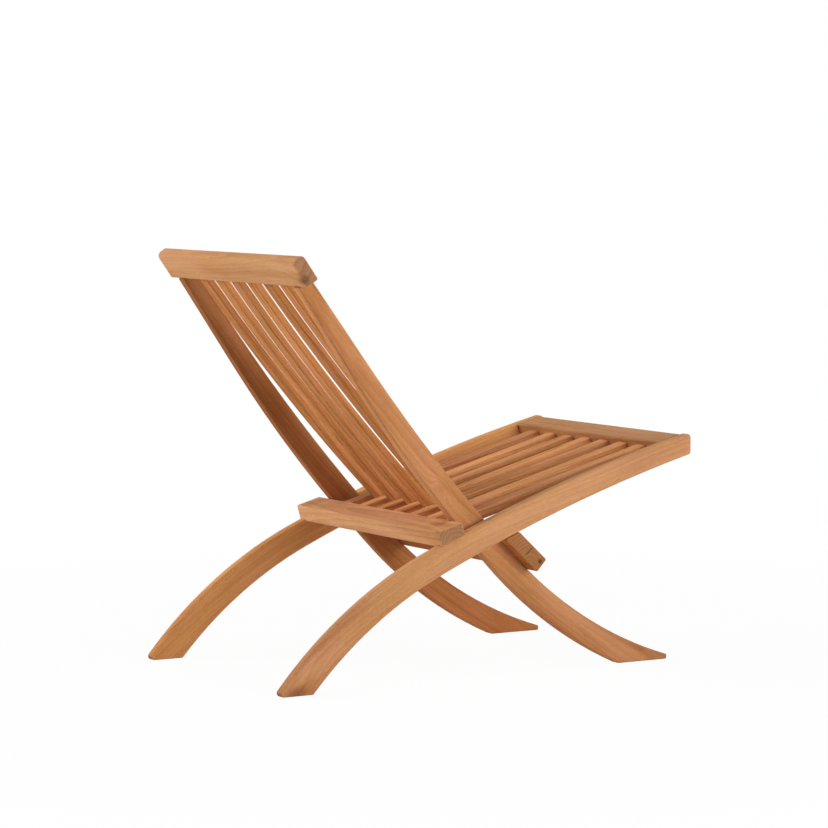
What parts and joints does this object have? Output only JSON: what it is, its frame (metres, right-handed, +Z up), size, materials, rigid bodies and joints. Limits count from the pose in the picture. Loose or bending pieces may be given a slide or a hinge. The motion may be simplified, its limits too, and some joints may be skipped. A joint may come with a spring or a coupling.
{
  "type": "folding chair",
  "caption": "Low folding lounge chair of teak without arms: two slatted frames cross like an X, and the back folds forward onto the seat on two hidden side pivots.",
  "frame": {"origin": "on the floor under the middle of the open chair, halfway between the rear heels and the front end of the seat and halfway across its width", "axes": "+X is the front of the seat, the way a sitter looks; +Y is the sitter's left; +Z is up"},
  "size_m": [0.933, 0.56, 0.8237],
  "materials": {
    "teak": "satin",
    "dowel_wood": "matte",
    "steel": "satin",
    "insert_brass": "satin"
  },
  "bodies": {
    "seat_frame": {"seat_rail_left": "teak", "seat_rail_right": "teak", "seat_rear_bar": "teak", "seat_front_bar": "teak", "seat_slat_1": "teak", "seat_slat_2": "teak", "seat_slat_3": "teak", "seat_slat_4": "teak", "seat_slat_5": "teak", "seat_slat_6": "teak", "seat_slat_7": "teak", "rear_bar_dowels": "dowel_wood", "front_bar_dowels": "dowel_wood", "pivot_inserts": "insert_brass", "pivot_spacers": "steel", "pivot_bolts": "steel"},
    "back_frame": {"back_stile_left": "teak", "back_stile_right": "teak", "back_top_bar": "teak", "back_lower_bar": "teak", "back_slat_1": "teak", "back_slat_2": "teak", "back_slat_3": "teak", "back_slat_4": "teak", "back_slat_5": "teak", "back_slat_6": "teak", "lower_bar_dowels": "dowel_wood"}
  },
  "joints": [
    {"name": "back_fold", "type": "hinge", "parent": "seat_frame", "child": "back_frame", "pos_m": [-0.01036, 0, 0.28], "axis": [0, 1, 0], "range_deg": [0, 98]}
  ]
}
